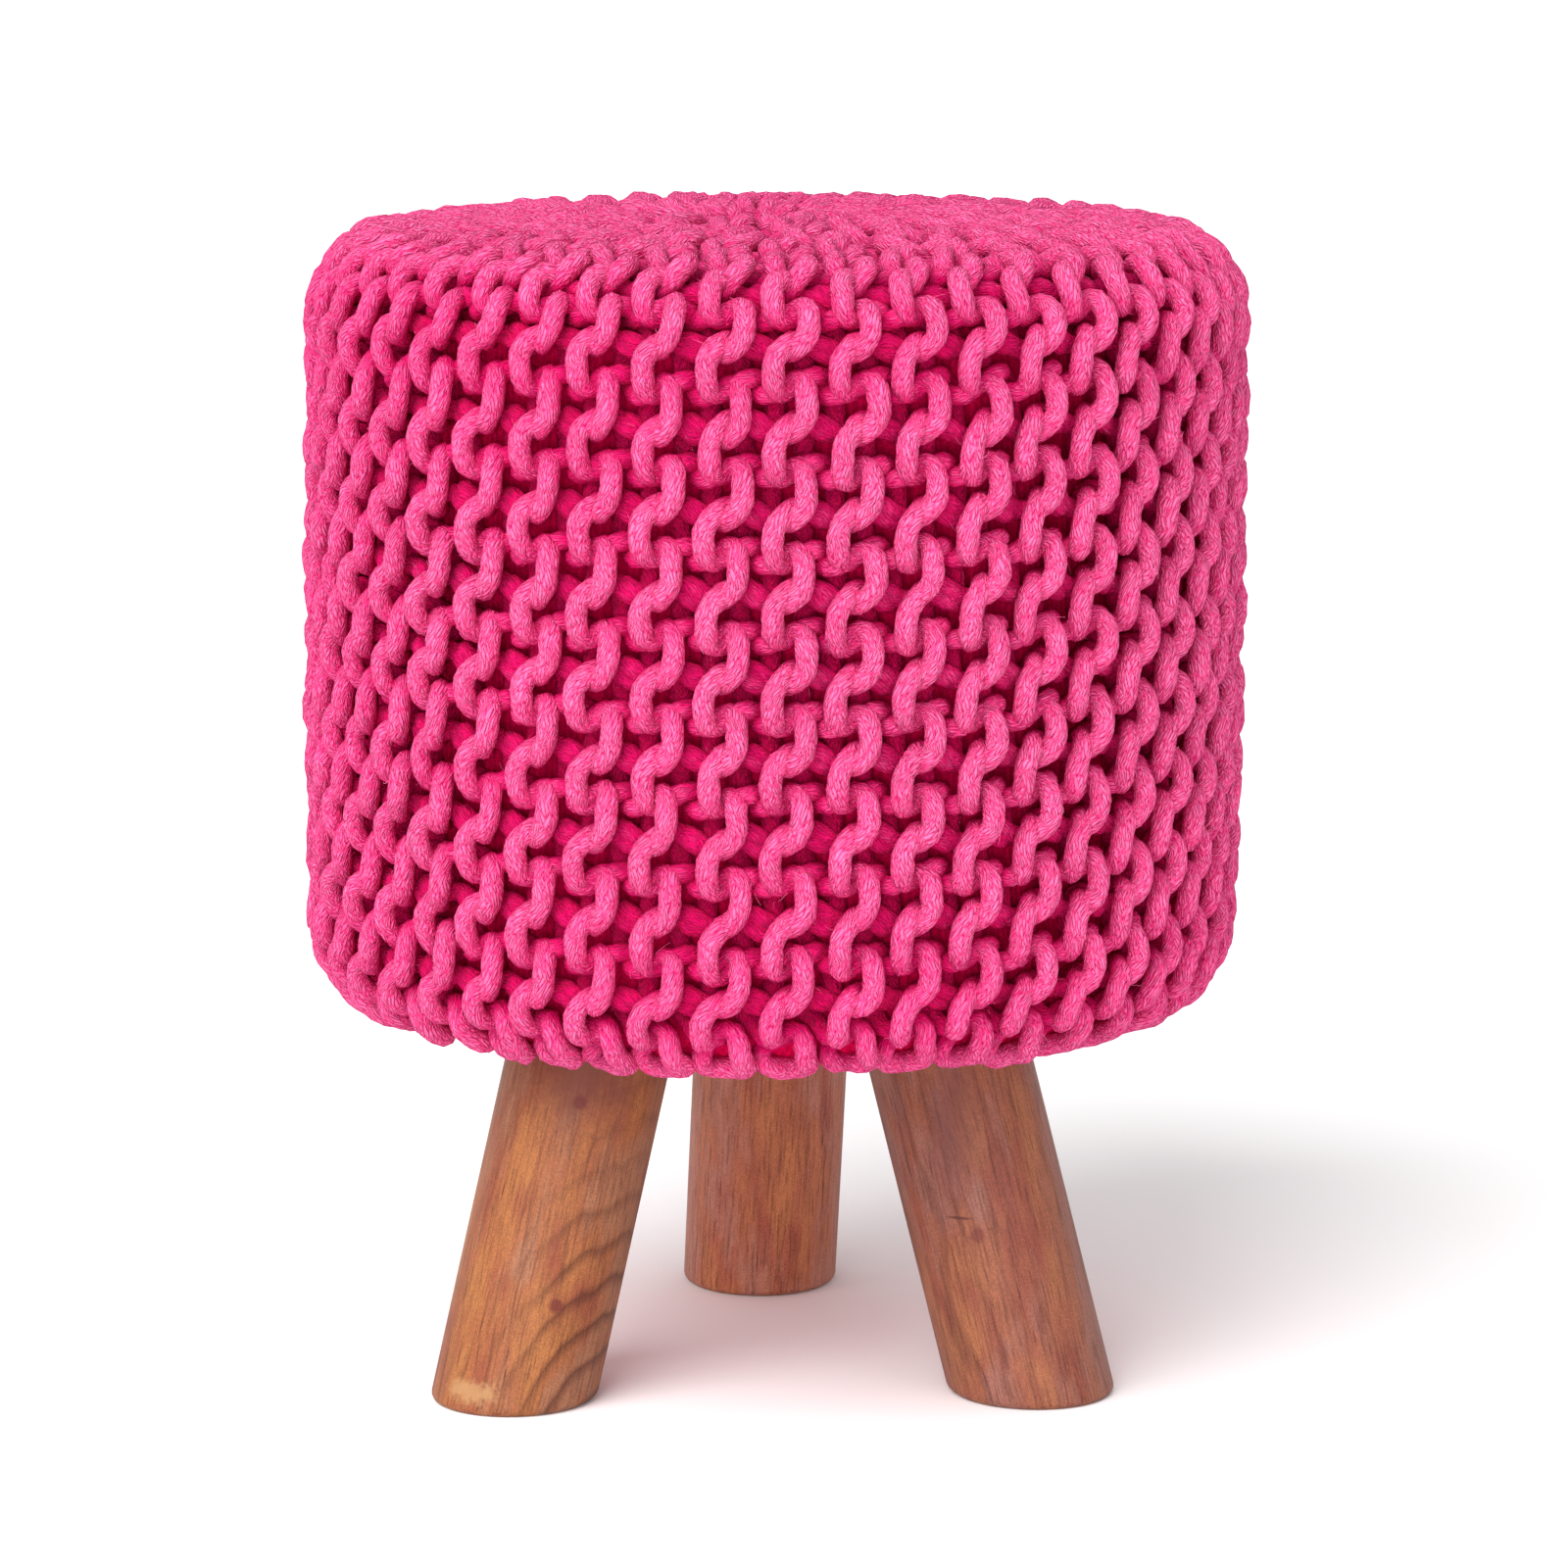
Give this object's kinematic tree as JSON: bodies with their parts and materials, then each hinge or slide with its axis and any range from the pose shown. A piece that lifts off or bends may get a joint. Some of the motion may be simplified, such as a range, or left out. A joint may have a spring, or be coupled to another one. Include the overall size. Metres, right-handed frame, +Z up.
{
  "type": "knitted pouf stool with splayed wooden legs",
  "caption": "Round cushioned pouf in chunky garter-stitch cotton cord, raised on splayed round wooden legs; a low seat or footrest.",
  "frame": {"origin": "on the floor, under the middle of the round seat", "axes": "+Z up through the seat's middle, -Y towards the front as pictured, between the two front legs, +X to the right"},
  "size_m": [0.3248, 0.3248, 0.4056],
  "materials": {
    "pink_knit": "matte knitted cotton cord with a soft fuzz",
    "oiled_wood": "satin oiled hardwood with brown grain"
  },
  "bodies": {
    "root": {"knitted_seat": "pink_knit", "leg_front_left": "oiled_wood", "leg_front_right": "oiled_wood", "leg_back": "oiled_wood"}
  },
  "joints": []
}
